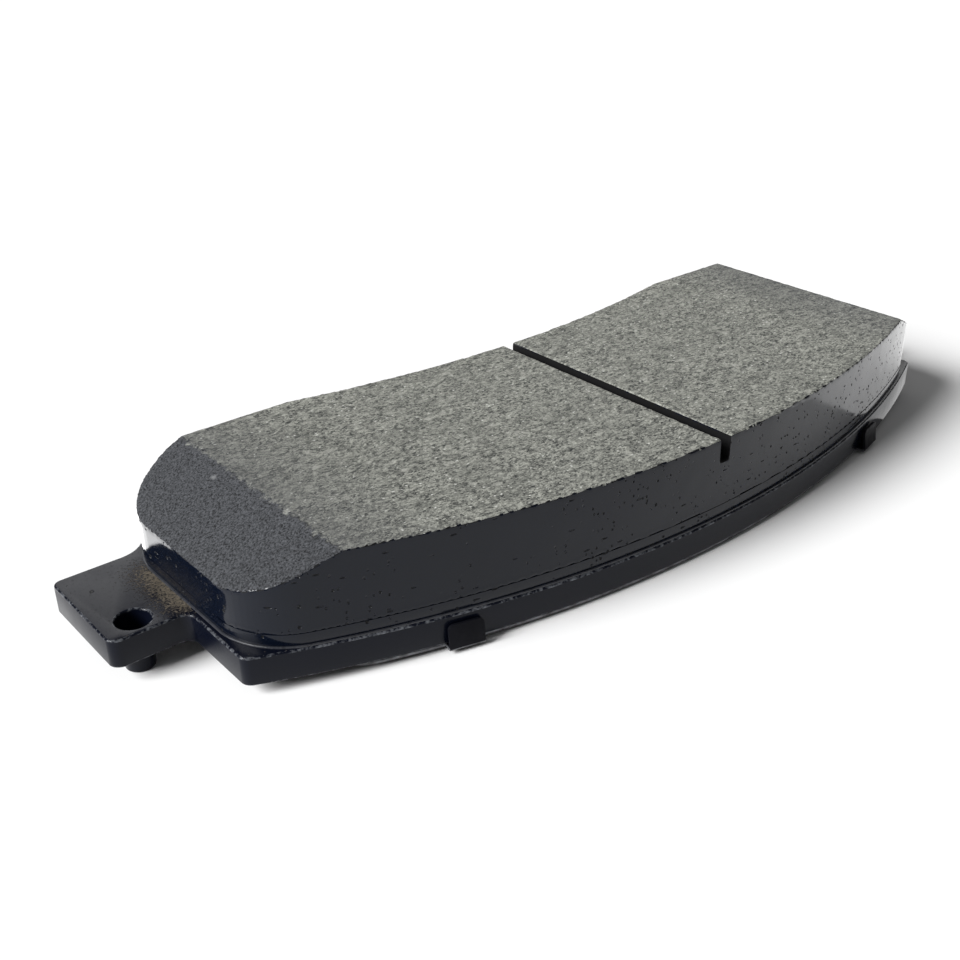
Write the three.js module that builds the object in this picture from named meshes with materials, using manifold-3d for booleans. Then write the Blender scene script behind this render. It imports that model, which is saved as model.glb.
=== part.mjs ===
// Disc brake pad for a van or light truck, as an assembly of its real layers.
// The pad lies flat with its friction face up: X runs along the pad, the convex outer edge is
// at -Y, the hollow inner edge is at +Y, and Z = 0 is the end of the two locating bosses.
import * as THREE from 'three';
import { mergeVertices } from 'three/addons/utils/BufferGeometryUtils.js';
import Module from 'manifold-3d';

const wasm = await Module();
wasm.setup();

// ---- Driving dimensions, in millimetres ----------------------------------------------------

// Steel backing plate
const plateThickness = 5;
const plateHalfLength = 83.8;
const plateHeight = 63.4;
const plateOuterRadius = 200.4;
const plateInnerRadius = 203.7;
const plateInnerHollow = 5.6;
const plateOuterCorner = 2;
const plateShoulderRadius = 14;

// Ears of the plate, which slide in the caliper bracket
const earTip = 96.8;
const earLow = 2.9;
const earHigh = 24.9;
const earLowCorner = 2;
const earHighCorner = 1.5;
const earLowFillet = 2;
const earHighFillet = 6;

// Half-sheared boss of each ear: a recess in front and the boss that it pushes out behind
const bossX = 91.2;
const bossY = 6.8;
const recessRadius = 2.8;
const bossRadius = 2.4;
const bossHeight = 3.5;
const bossChamfer = 0.5;

// Friction lining
const liningEndMargin = 1.05;
const liningOuterMargin = 0.55;
const liningInnerMargin = 1.2;
const liningHeight = 15.3;
const liningOuterCorner = 13.4;
const liningInnerCorner = 13;
const filmThickness = 0.25;
const filmSqueeze = 0.25;
const underlayerThickness = 2;
const chamferStart = 68.8;
const chamferDrop = 6.6;
const slotWidth = 2.3;
const slotDepth = 4.5;

// Keying holes of the plate, which the underlayer flows into when the pad is moulded
const keyRadius = 5;
const keyClearance = 0.3;
const keyRecess = 0.25;
const keyInnerX = 24;
const keyOuterX = 58;
const keyInnerY = -2;
const keyOuterY = 4;

// Noise shim: a steel sheet between two rubber coats, held on by four bent tabs
const shimSteel = 0.5;
const shimRubber = 0.25;
const shimSetback = 0.4;
const shimHalfLength = 69.5;
const shimCorner = 6;
const rubberSetback = 0.8;
const tabWidth = 6;
const tabHeight = 4.5;
const tabGapLow = 0.9;
const tabGapHigh = 0.35;
const tabOverlap = 3;
const outerTabX = 51.8;
const innerTabX = 32;

// ---- Levels along Z ------------------------------------------------------------------------

const plateBack = bossHeight;
const plateFront = plateBack + plateThickness;
const underlayerBack = plateFront + filmThickness;
const blockBack = underlayerBack + underlayerThickness;
const blockFront = plateFront + liningHeight;
const steelFront = plateBack - shimRubber;
const steelBack = steelFront - shimSteel;
const shimBack = steelBack - shimRubber;

// ---- Outlines ------------------------------------------------------------------------------

const outerApex = -plateHeight / 2;
const innerFlat = plateHeight / 2;
const outerCentreY = outerApex + plateOuterRadius;
const innerCentreY = innerFlat - plateInnerHollow + plateInnerRadius;
const RIGHT = 0;
const UP = Math.PI / 2;
const LEFT = Math.PI;
const DOWN = -Math.PI / 2;

// Points along an arc, both ends included. The angle may run either way.
function arc(x, y, radius, from, to, steps) {
  const points = [];
  for (let i = 0; i <= steps; i += 1) {
    const angle = from + ((to - from) * i) / steps;
    points.push(new THREE.Vector2(x + radius * Math.cos(angle), y + radius * Math.sin(angle)));
  }
  return points;
}

// The convex outer edge from its middle to a rounded corner that meets the end at halfLength.
function outerEdge(radius, halfLength, corner) {
  const x = halfLength - corner;
  const y = outerCentreY - Math.sqrt((radius - corner) ** 2 - x ** 2);
  const turn = Math.atan2(y - outerCentreY, x);
  const edge = arc(0, outerCentreY, radius, DOWN, turn, 12);
  return edge.concat(arc(x, y, corner, turn, RIGHT, 8).slice(1));
}

// The inner edge from its straight shoulder, at height flat, to the middle of its hollow.
function innerEdge(radius, flat) {
  const turn = -Math.acos(Math.sqrt(radius ** 2 - (innerCentreY - flat) ** 2) / radius);
  return arc(0, innerCentreY, radius, turn, DOWN, 8);
}

// A closed shape from its right half, which runs from the outer apex to the inner apex.
function mirroredShape(half) {
  const other = half.slice(1, -1).reverse();
  const mirrored = other.map((point) => new THREE.Vector2(-point.x, point.y));
  return new THREE.Shape(half.concat(mirrored));
}

// The two straight-sided steps of an ear, from the plate's end round to its shoulder.
function earEdge() {
  const shoulderX = plateHalfLength - plateShoulderRadius;
  const shoulderY = innerFlat - plateShoulderRadius;
  const filletY = earHigh + earHighFillet;
  const reach = plateShoulderRadius + earHighFillet;
  const filletX = shoulderX + Math.sqrt(reach ** 2 - (filletY - shoulderY) ** 2);
  const lean = Math.atan2(filletY - shoulderY, filletX - shoulderX);
  const lowY = earLow - earLowFillet;
  return [
    ...arc(plateHalfLength + earLowFillet, lowY, earLowFillet, LEFT, UP, 5),
    ...arc(earTip - earLowCorner, earLow + earLowCorner, earLowCorner, DOWN, RIGHT, 5),
    ...arc(earTip - earHighCorner, earHigh - earHighCorner, earHighCorner, RIGHT, UP, 5),
    ...arc(filletX, filletY, earHighFillet, DOWN, lean - Math.PI, 6),
    ...arc(shoulderX, shoulderY, plateShoulderRadius, lean, UP, 7).slice(1),
  ];
}

function plateShape() {
  return mirroredShape([
    ...outerEdge(plateOuterRadius, plateHalfLength, plateOuterCorner),
    ...earEdge(),
    ...innerEdge(plateInnerRadius, innerFlat),
  ]);
}

// The lining's outline, set back from its full size all round.
function liningShape(setback) {
  const halfLength = plateHalfLength - liningEndMargin - setback;
  const flat = innerFlat - liningInnerMargin - setback;
  const corner = liningInnerCorner - setback;
  return mirroredShape([
    ...outerEdge(plateOuterRadius - liningOuterMargin - setback, halfLength, liningOuterCorner - setback),
    ...arc(halfLength - corner, flat - corner, corner, RIGHT, UP, 10),
    ...innerEdge(plateInnerRadius + liningInnerMargin + setback, flat),
  ]);
}

// The shim's outline follows the plate's long edges and stops short of its ends.
function shimShape(setback) {
  const halfLength = shimHalfLength - setback;
  const flat = innerFlat - shimSetback - setback;
  return mirroredShape([
    ...outerEdge(plateOuterRadius - shimSetback - setback, halfLength, shimCorner),
    ...arc(halfLength - shimCorner, flat - shimCorner, shimCorner, RIGHT, UP, 6),
    ...innerEdge(plateInnerRadius + shimSetback + setback, flat),
  ]);
}

// ---- Solids --------------------------------------------------------------------------------

function solid(geometry) {
  geometry.deleteAttribute('normal');
  geometry.deleteAttribute('uv');
  const merged = mergeVertices(geometry, 1e-5);
  const vertProperties = new Float32Array(merged.attributes.position.array);
  const triVerts = new Uint32Array(merged.index.array);
  return new wasm.Manifold(new wasm.Mesh({ numProp: 3, vertProperties, triVerts }));
}

function geometryOf(manifold) {
  const mesh = manifold.getMesh();
  const geometry = new THREE.BufferGeometry();
  geometry.setAttribute('position', new THREE.BufferAttribute(mesh.vertProperties, 3));
  geometry.setIndex(new THREE.BufferAttribute(mesh.triVerts, 1));
  geometry.computeVertexNormals();
  return geometry;
}

// A flat slab of an outline between two levels.
function slab(shape, low, high) {
  const geometry = new THREE.ExtrudeGeometry(shape, { depth: high - low, bevelEnabled: false });
  geometry.translate(0, 0, low);
  return solid(geometry);
}

function block(width, depth, height, x, y, z) {
  const geometry = new THREE.BoxGeometry(width, depth, height);
  geometry.translate(x, y, z);
  return solid(geometry);
}

// An upright round bar between two levels, with an optional chamfer round its lower end.
function bar(radius, low, high, x, y, chamfer = 0) {
  const profile = [new THREE.Vector2(0, low), new THREE.Vector2(radius - chamfer, low)];
  if (chamfer > 0) {
    profile.push(new THREE.Vector2(radius, low + chamfer));
  }
  profile.push(new THREE.Vector2(radius, high), new THREE.Vector2(0, high));
  const geometry = new THREE.LatheGeometry(profile, 28);
  geometry.rotateX(Math.PI / 2);
  geometry.translate(x, y, 0);
  return solid(geometry);
}

const keyPlaces = [
  [-keyOuterX, keyOuterY],
  [-keyInnerX, keyInnerY],
  [keyInnerX, keyInnerY],
  [keyOuterX, keyOuterY],
];

function backingPlate() {
  const past = 1;
  let plate = slab(plateShape(), plateBack, plateFront);
  for (const [x, y] of keyPlaces) {
    plate = plate.subtract(bar(keyRadius, plateBack - past, plateFront + past, x, y));
  }
  for (const side of [-1, 1]) {
    plate = plate.add(bar(bossRadius, 0, plateBack + past, side * bossX, bossY, bossChamfer));
    plate = plate.subtract(
      bar(recessRadius, plateFront - bossHeight, plateFront + past, side * bossX, bossY),
    );
  }
  return plate;
}

// The film is squeezed out a little way beyond the lining when the pad is pressed.
function adhesiveFilm() {
  const past = 1;
  let film = slab(liningShape(-filmSqueeze), plateFront, underlayerBack);
  for (const [x, y] of keyPlaces) {
    film = film.subtract(bar(keyRadius, plateFront - past, underlayerBack + past, x, y));
  }
  return film;
}

function underlayer() {
  let layer = slab(liningShape(0), underlayerBack, blockBack);
  for (const [x, y] of keyPlaces) {
    layer = layer.add(
      bar(keyRadius - keyClearance, plateBack + keyRecess, underlayerBack + underlayerThickness / 2, x, y),
    );
  }
  return layer;
}

// A wedge that takes the chamfer off one end of the block.
function chamferWedge(side) {
  const reach = plateHalfLength - liningEndMargin - chamferStart;
  const past = 5;
  const slope = chamferDrop / reach;
  const profile = new THREE.Shape([
    new THREE.Vector2(chamferStart, blockFront),
    new THREE.Vector2(chamferStart + reach + past, blockFront - (reach + past) * slope),
    new THREE.Vector2(chamferStart + reach + past, blockFront + past),
    new THREE.Vector2(chamferStart, blockFront + past),
  ]);
  const geometry = new THREE.ExtrudeGeometry(profile, { depth: plateHeight, bevelEnabled: false });
  geometry.rotateX(Math.PI / 2);
  geometry.translate(0, plateHeight / 2, 0);
  if (side < 0) {
    geometry.rotateZ(Math.PI);
  }
  return solid(geometry);
}

function frictionBlock() {
  const past = 1;
  const slotHeight = slotDepth + past;
  let lining = slab(liningShape(0), blockBack, blockFront);
  lining = lining.subtract(
    block(slotWidth, plateHeight + past, slotHeight, 0, 0, blockFront - slotDepth + slotHeight / 2),
  );
  for (const side of [-1, 1]) {
    lining = lining.subtract(chamferWedge(side));
  }
  return lining;
}

// One tab: it leaves the sheet at the plate's edge, bends up and leans in towards the edge.
function tab(x, edge) {
  const onOuter = edge < 0;
  const radius = onOuter ? plateOuterRadius : plateInnerRadius;
  const centreY = onOuter ? outerCentreY : innerCentreY;
  const low = steelBack;
  const bend = shimSteel;
  const run = tabGapLow + shimSteel;
  const wall = steelBack + tabHeight;
  const profile = new THREE.Shape([
    new THREE.Vector2(-tabOverlap, low),
    new THREE.Vector2(run - bend, low),
    ...arc(run - bend, low + bend, bend, DOWN, RIGHT, 4).slice(1),
    new THREE.Vector2(tabGapHigh + shimSteel, wall),
    new THREE.Vector2(tabGapHigh, wall),
    new THREE.Vector2(tabGapLow, low + shimSteel + bend / 2),
    new THREE.Vector2(tabGapLow - bend / 2, low + shimSteel),
    new THREE.Vector2(-tabOverlap, low + shimSteel),
  ]);
  const geometry = new THREE.ExtrudeGeometry(profile, { depth: tabWidth, bevelEnabled: false });
  geometry.translate(0, 0, -tabWidth / 2);
  geometry.rotateX(Math.PI / 2);
  const lean = Math.asin(x / radius);
  geometry.rotateZ(onOuter ? DOWN : UP);
  geometry.translate(0, -radius, 0);
  geometry.rotateZ(lean);
  geometry.translate(0, centreY, 0);
  return solid(geometry);
}

function shimSheet() {
  let sheet = slab(shimShape(0), steelBack, steelFront);
  for (const side of [-1, 1]) {
    sheet = sheet.add(tab(side * outerTabX, -1));
    sheet = sheet.add(tab(side * innerTabX, 1));
  }
  return sheet;
}

// ---- Finishes and assembly -----------------------------------------------------------------

const finishes = {
  paint: { color: 0x23262c, roughness: 0.35, metalness: 0.3 },
  adhesive: { color: 0x5a3b22, roughness: 0.6, metalness: 0 },
  underlayer: { color: 0x2b2d31, roughness: 0.6, metalness: 0 },
  friction: { color: 0x7f8078, roughness: 0.95, metalness: 0.05 },
  rubber: { color: 0x151515, roughness: 0.8, metalness: 0 },
  shimSteel: { color: 0x2c2f36, roughness: 0.5, metalness: 0.5 },
};

function piece(name, manifold, finish) {
  const mesh = new THREE.Mesh(geometryOf(manifold), new THREE.MeshStandardMaterial(finishes[finish]));
  mesh.name = name;
  return mesh;
}

const pad = new THREE.Group();
pad.add(piece('backing_plate', backingPlate(), 'paint'));
pad.add(piece('adhesive_film', adhesiveFilm(), 'adhesive'));
pad.add(piece('underlayer', underlayer(), 'underlayer'));
pad.add(piece('friction_block', frictionBlock(), 'friction'));
pad.add(piece('shim_inner_rubber', slab(shimShape(rubberSetback), steelFront, plateBack), 'rubber'));
pad.add(piece('shim_steel', shimSheet(), 'shimSteel'));
pad.add(piece('shim_outer_rubber', slab(shimShape(rubberSetback), shimBack, steelBack), 'rubber'));

export default pad;
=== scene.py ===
# %% [markdown]
# # A disc brake pad, layer by layer
# A brake pad is a stack: a stamped steel plate, a film of resin, a soft underlayer, a block of
# friction compound, and a noise shim clipped on behind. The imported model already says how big
# each layer is and where it lies. Here each layer is modelled again with the marks that its
# making leaves on it: rolled edges, squeezed-out resin, grinding marks and baked-on paint.

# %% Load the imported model
import math

import bmesh
import bpy
from mathutils import Matrix, Vector


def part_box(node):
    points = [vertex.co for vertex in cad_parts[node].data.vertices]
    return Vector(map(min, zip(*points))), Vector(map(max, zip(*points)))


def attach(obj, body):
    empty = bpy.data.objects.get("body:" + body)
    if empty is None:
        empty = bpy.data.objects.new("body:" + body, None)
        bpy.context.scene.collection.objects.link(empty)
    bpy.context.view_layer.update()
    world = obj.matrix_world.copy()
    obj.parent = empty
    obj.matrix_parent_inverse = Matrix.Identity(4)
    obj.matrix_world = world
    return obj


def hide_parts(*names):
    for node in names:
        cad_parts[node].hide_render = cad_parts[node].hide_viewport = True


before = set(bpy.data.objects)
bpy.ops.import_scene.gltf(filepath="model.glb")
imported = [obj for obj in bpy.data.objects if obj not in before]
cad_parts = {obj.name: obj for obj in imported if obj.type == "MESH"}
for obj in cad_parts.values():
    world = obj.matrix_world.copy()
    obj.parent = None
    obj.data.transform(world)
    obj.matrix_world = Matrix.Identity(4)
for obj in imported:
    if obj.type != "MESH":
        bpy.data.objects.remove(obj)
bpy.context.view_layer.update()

# %% [markdown]
# ## The camera
# The pad is looked at from its left front corner, with a fairly wide lens held close, so the
# near ear looms and the far end shrinks. The camera is placed by two angles and a distance from
# the point it looks at, because those are what a person changes when framing a shot.

# %% Place the camera
MM = 0.001
CAMERA_AZIMUTH = math.radians(-39.09)
CAMERA_ELEVATION = math.radians(28.20)
CAMERA_ROLL = math.radians(-1.02)
CAMERA_DISTANCE = 225.04 * MM
CAMERA_TARGET = Vector((-22.75, 6.42, 8.50)) * MM
CAMERA_LENS = 45.98


def direction(azimuth, elevation):
    """The unit vector towards a place seen at these angles: azimuth 0 is towards -Y."""
    flat = math.cos(elevation)
    return Vector((math.sin(azimuth) * flat, -math.cos(azimuth) * flat, math.sin(elevation)))


def aim(thing, back):
    """Turns a camera or lamp so that it looks against the direction back."""
    thing.rotation_mode = "QUATERNION"
    thing.rotation_quaternion = back.to_track_quat("Z", "Y")


back = direction(CAMERA_AZIMUTH, CAMERA_ELEVATION)
bpy.ops.object.camera_add(location=CAMERA_TARGET + back * CAMERA_DISTANCE)
camera = bpy.context.object
camera.name = "camera"
camera.data.lens = CAMERA_LENS
camera.data.clip_start = 5 * MM
aim(camera, back)
roll = Matrix.Rotation(CAMERA_ROLL, 4, "Z").to_quaternion()
camera.rotation_quaternion = camera.rotation_quaternion @ roll
bpy.context.scene.camera = camera
print("the camera stands at", tuple(camera.location))

# %% [markdown]
# ## Sizes of the layers
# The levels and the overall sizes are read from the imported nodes, so the looks can't drift away
# from the model. The radii and corners, which a box doesn't tell, are the model's own figures.

# %% Read the levels
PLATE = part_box("backing_plate")
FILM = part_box("adhesive_film")
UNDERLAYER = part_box("underlayer")
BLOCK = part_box("friction_block")
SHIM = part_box("shim_steel")
RUBBER_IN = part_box("shim_inner_rubber")

PLATE_BACK = RUBBER_IN[1].z
PLATE_FRONT = PLATE[1].z
UNDERLAYER_BACK = FILM[1].z
BLOCK_BACK = BLOCK[0].z
BLOCK_FRONT = BLOCK[1].z
STEEL_BACK = SHIM[0].z
STEEL_FRONT = RUBBER_IN[0].z
print("plate from", PLATE_BACK, "to", PLATE_FRONT, "and lining up to", BLOCK_FRONT)

# %% Name the model's radii and corners
PLATE_HALF = 83.8 * MM
OUTER_APEX = PLATE[0].y
INNER_FLAT = PLATE[1].y
OUTER_RADIUS = 200.4 * MM
INNER_RADIUS = 203.7 * MM
INNER_HOLLOW = 5.6 * MM
OUTER_CENTRE = OUTER_APEX + OUTER_RADIUS
INNER_CENTRE = INNER_FLAT - INNER_HOLLOW + INNER_RADIUS
PLATE_CORNER = 2 * MM
SHOULDER = 14 * MM

LINING_HALF = BLOCK[1].x
LINING_FLAT = BLOCK[1].y
LINING_OUTER_MARGIN = 0.55 * MM
LINING_INNER_MARGIN = 1.2 * MM
LINING_OUTER_CORNER = 13.4 * MM
LINING_INNER_CORNER = 13 * MM
print("lining", 2 * LINING_HALF / MM, "mm long on a plate", 2 * PLATE_HALF / MM, "mm long")

# %% [markdown]
# ## Drawing an outline
# Every layer is a flat outline pulled up into a solid. The outline is mostly arcs, so it is
# drawn as with a pen: one vertex is put down, Spin carries it round a centre, and Extrude pulls
# it along a straight line. Only half is drawn, since the pad is the same on both sides: a copy
# scaled by minus one makes the other half. A positive Spin about Z turns clockwise here.

# %% The pen
RIGHT = 0
UP = math.pi / 2
DOWN = -math.pi / 2
EDGE_STEPS = 60
CORNER_STEPS = 14
TOUCH = 0.01 * MM


def pen_down(name, x, y, z):
    """Starts a mesh of one vertex, left selected in edit mode."""
    bpy.ops.object.select_all(action="DESELECT")
    bpy.ops.mesh.primitive_plane_add(size=MM, location=(x, y, z))
    bpy.ops.object.transform_apply(location=True)
    piece = bpy.context.object
    piece.name = name
    bpy.ops.object.mode_set(mode="EDIT")
    bpy.ops.mesh.select_all(action="SELECT")
    bpy.ops.mesh.merge(type="CENTER")
    bpy.ops.mesh.select_all(action="SELECT")
    return piece


def pen_place():
    """Where the pen stands: the one vertex that is selected."""
    mesh = bmesh.from_edit_mesh(bpy.context.object.data)
    return next(vertex.co.copy() for vertex in mesh.verts if vertex.select)


def pen_line(x, y):
    here = pen_place()
    step = (x - here.x, y - here.y, 0)
    bpy.ops.mesh.extrude_region_move(TRANSFORM_OT_translate={"value": step})


def pen_arc(x, y, heading, steps=CORNER_STEPS):
    """Carries the line round the centre (x, y) until it stands at the angle heading from it."""
    here = pen_place()
    turn = heading - math.atan2(here.y - y, here.x - x)
    turn = math.remainder(turn, 2 * math.pi)
    bpy.ops.mesh.spin(steps=steps, angle=-turn, center=(x, y, 0), axis=(0, 0, 1))


def close_outline():
    """Mirrors the half that is drawn across the middle and fills it with one face."""
    bpy.ops.mesh.select_all(action="SELECT")
    bpy.ops.mesh.duplicate()
    bpy.ops.transform.resize(value=(-1, 1, 1), center_override=(0, 0, 0))
    bpy.ops.mesh.select_all(action="SELECT")
    bpy.ops.mesh.remove_doubles(threshold=TOUCH)
    bpy.ops.mesh.edge_face_add()


def pull_up(height):
    """Makes the filled outline a solid of that height, and leaves edit mode."""
    bpy.ops.mesh.extrude_region_move(TRANSFORM_OT_translate={"value": (0, 0, height)})
    bpy.ops.mesh.select_all(action="SELECT")
    bpy.ops.mesh.normals_make_consistent(inside=False)
    bpy.ops.object.mode_set(mode="OBJECT")


# %% The two long edges, which every layer shares
def draw_outer_edge(name, radius, half_length, corner, level):
    """From the middle of the bowed edge to the rounded corner at the end of the layer."""
    piece = pen_down(name, 0, OUTER_CENTRE - radius, level)
    x = half_length - corner
    y = OUTER_CENTRE - math.sqrt((radius - corner) ** 2 - x ** 2)
    pen_arc(0, OUTER_CENTRE, math.atan2(y - OUTER_CENTRE, x), EDGE_STEPS)
    pen_arc(x, y, RIGHT)
    return piece


def draw_inner_edge(radius, flat):
    """Along the straight shoulder and down into the hollow edge, to its middle."""
    x = math.sqrt(radius ** 2 - (INNER_CENTRE - flat) ** 2)
    pen_line(x, flat)
    pen_arc(0, INNER_CENTRE, DOWN, EDGE_STEPS)


def draw_lining(name, level, grow=0):
    """The lining's outline, grown or set back all round."""
    half = LINING_HALF + grow
    flat = LINING_FLAT + grow
    corner = LINING_INNER_CORNER + grow
    radius = OUTER_RADIUS - LINING_OUTER_MARGIN + grow
    piece = draw_outer_edge(name, radius, half, LINING_OUTER_CORNER + grow, level)
    pen_line(half, flat - corner)
    pen_arc(half - corner, flat - corner, UP)
    draw_inner_edge(INNER_RADIUS + LINING_INNER_MARGIN - grow, flat)
    close_outline()
    return piece


# %% Choosing edges, cutting and joining
SHARP = math.radians(40)
ROUND_STEPS = 64
PAST = 1 * MM


def pick_edges(piece, wanted):
    """In edit mode, selects the sharp edges whose two ends pass the test."""
    bpy.ops.object.mode_set(mode="EDIT")
    bpy.ops.mesh.select_mode(type="EDGE")
    bpy.ops.mesh.select_all(action="DESELECT")
    mesh = bmesh.from_edit_mesh(piece.data)
    for edge in mesh.edges:
        sharp = edge.is_manifold and edge.calc_face_angle() > SHARP
        edge.select_set(sharp and all(wanted(end.co) for end in edge.verts))
    bmesh.update_edit_mesh(piece.data)


def round_edges(piece, wanted, radius, segments, slot=0):
    """Rounds the picked edges, and gives the new faces a material slot."""
    pick_edges(piece, wanted)
    bpy.ops.mesh.bevel(offset=radius, segments=segments, affect="EDGES", clamp_overlap=True)
    bpy.ops.mesh.select_mode(type="FACE")
    bpy.context.object.active_material_index = slot
    bpy.ops.object.material_slot_assign()
    bpy.ops.object.mode_set(mode="OBJECT")


def use_tool(piece, tool, operation):
    """Cuts or joins a piece with a tool, which is used up."""
    modifier = piece.modifiers.new("shape", "BOOLEAN")
    modifier.operation = operation
    modifier.solver = "EXACT"
    modifier.object = tool
    apply_modifiers(piece)
    bpy.data.objects.remove(tool)


def apply_modifiers(piece):
    bpy.ops.object.select_all(action="DESELECT")
    bpy.context.view_layer.objects.active = piece
    piece.select_set(True)
    for modifier in list(piece.modifiers):
        bpy.ops.object.modifier_apply(modifier=modifier.name)


def round_bar(radius, low, high, x, y):
    """A standing cylinder. As a tool it reaches past what it cuts or joins, by PAST."""
    bpy.ops.object.select_all(action="DESELECT")
    bpy.ops.mesh.primitive_cylinder_add(
        vertices=ROUND_STEPS,
        radius=radius,
        depth=high - low,
        location=(x, y, (low + high) / 2),
    )
    return bpy.context.object


def slots(piece, *materials):
    """Gives a piece its materials, in order."""
    bpy.context.view_layer.objects.active = piece
    for material in materials:
        bpy.ops.object.material_slot_add()
        piece.material_slots[-1].material = material


def smooth(piece, angle=35):
    bpy.ops.object.select_all(action="DESELECT")
    bpy.context.view_layer.objects.active = piece
    piece.select_set(True)
    bpy.ops.object.shade_smooth_by_angle(angle=math.radians(angle))


def report(piece):
    """Prints how large a piece is, and how many triangles it has."""
    box = [Vector(corner) for corner in piece.bound_box]
    size = [max(c[axis] for c in box) - min(c[axis] for c in box) for axis in range(3)]
    sides = sum(len(face.vertices) - 2 for face in piece.data.polygons)
    print(piece.name, "is", [round(side / MM, 2) for side in size], "mm,", sides, "triangles")


# %% [markdown]
# ## Building a finish
# All finishes are node networks on Object coordinates. The pieces' objects stay at the origin,
# so a pattern lies in the same place on every layer, and sizes can be given in metres: a noise
# of size 1 mm has a scale of one over 0.001.

# %% Helpers for the node networks
def start_finish(name):
    material = bpy.data.materials.new(name)
    material.use_nodes = True
    material.node_tree.nodes.clear()
    return material


def node(tree, kind, inputs, **settings):
    """Adds a node. Each input is given a number or colour, or is linked to a socket."""
    made = tree.nodes.new(kind)
    for name, value in settings.items():
        setattr(made, name, value)
    for name, value in inputs.items():
        if isinstance(value, bpy.types.NodeSocket):
            tree.links.new(value, made.inputs[name])
        else:
            made.inputs[name].default_value = value
    return made


def grid(tree, stretch=(1, 1, 1), turn=0):
    """Object coordinates, stretched along the axes and turned about Z."""
    where = node(tree, "ShaderNodeTexCoord", {})
    squeeze = [1 / factor for factor in stretch]
    turned = node(tree, "ShaderNodeMapping", {
        "Vector": where.outputs["Object"],
        "Rotation": (0, 0, turn),
        "Scale": squeeze,
    })
    return turned.outputs["Vector"]


def noise(tree, size, detail=2, roughness=0.5, where=None):
    made = node(tree, "ShaderNodeTexNoise", {
        "Vector": where or grid(tree),
        "Scale": 1 / size,
        "Detail": detail,
        "Roughness": roughness,
    })
    return made.outputs["Fac"]


def cells(tree, size, where=None):
    """The nearest cells of a Voronoi pattern, each with a Distance and a Color."""
    return node(tree, "ShaderNodeTexVoronoi", {"Vector": where or grid(tree), "Scale": 1 / size})


def between(tree, value, low, high, start=0.0, end=1.0):
    """Start where the value is below low, end where it is above high, and even in between."""
    made = node(tree, "ShaderNodeMapRange", {
        "Value": value,
        "From Min": low,
        "From Max": high,
        "To Min": start,
        "To Max": end,
    })
    return made.outputs["Result"]


def maths(tree, operation, first, second):
    return node(tree, "ShaderNodeMath", {0: first, 1: second}, operation=operation).outputs[0]


def blend(tree, factor, first, second):
    """The first colour where the factor is 0, the second where it is 1."""
    inputs = {"Factor": factor, "A": first, "B": second}
    return node(tree, "ShaderNodeMix", inputs, data_type="RGBA").outputs["Result"]


def scatter(tree, marks, strength, under, tone):
    """Lays marks of one tone over the colour under them."""
    return blend(tree, maths(tree, "MULTIPLY", marks, strength), under, tone)


def colour(red, green, blue):
    """A colour as read off a screen, from 0 to 255, made linear for the shader."""
    linear = []
    for part in (red, green, blue):
        part = part / 255
        linear.append(part / 12.92 if part <= 0.04045 else ((part + 0.055) / 1.055) ** 2.4)
    return (*linear, 1)


def part_of(tree, axis, vector=None):
    """One part, 0 to 2, of the Object coordinates or of another vector."""
    source = vector or node(tree, "ShaderNodeTexCoord", {}).outputs["Object"]
    return node(tree, "ShaderNodeSeparateXYZ", {"Vector": source}).outputs[axis]


def from_middle(tree):
    """How far a place lies from the middle of the pad, along its length and to either side."""
    return node(tree, "ShaderNodeMath", {0: part_of(tree, 0)}, operation="ABSOLUTE").outputs[0]


def bump(tree, height, depth, strength=1.0, normal=None):
    inputs = {"Height": height, "Distance": depth, "Strength": strength}
    if normal:
        inputs["Normal"] = normal
    return node(tree, "ShaderNodeBump", inputs).outputs["Normal"]


def end_finish(tree, **sockets):
    shader = node(tree, "ShaderNodeBsdfPrincipled", {
        name.replace("_", " "): value for name, value in sockets.items()
    })
    node(tree, "ShaderNodeOutputMaterial", {"Surface": shader.outputs["BSDF"]})


# %% [markdown]
# ## Paint on the lining's walls
# The pad is sprayed or powder-coated after pressing, and the friction face is ground clean
# afterwards. On the walls the paint bridges the pores of the compound, but not all of them: it
# is left with pinholes and short dark scratches where grains were dragged along the mould.
# Along the rim the compound crumbles and the paint goes with it. How much is lost there is an
# attribute of the block's mesh, made when the block is. A piece without it reads as 0.

# %% The wall paint
PAINT_IOR = 1.35


def pinholes(tree, size, share, width, where=None):
    """Round holes in a share of the cells: 1 in a hole, 0 around it."""
    made = cells(tree, size, where)
    chosen = between(tree, part_of(tree, 0, made.outputs["Color"]), share, share * 0.98, 0, 1)
    hole = between(tree, made.outputs["Distance"], width * 0.6, width, 1, 0)
    return maths(tree, "MULTIPLY", chosen, hole)


def named(tree, attribute):
    """The value of a named attribute of the mesh."""
    return node(tree, "ShaderNodeAttribute", {}, attribute_name=attribute).outputs["Fac"]


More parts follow.
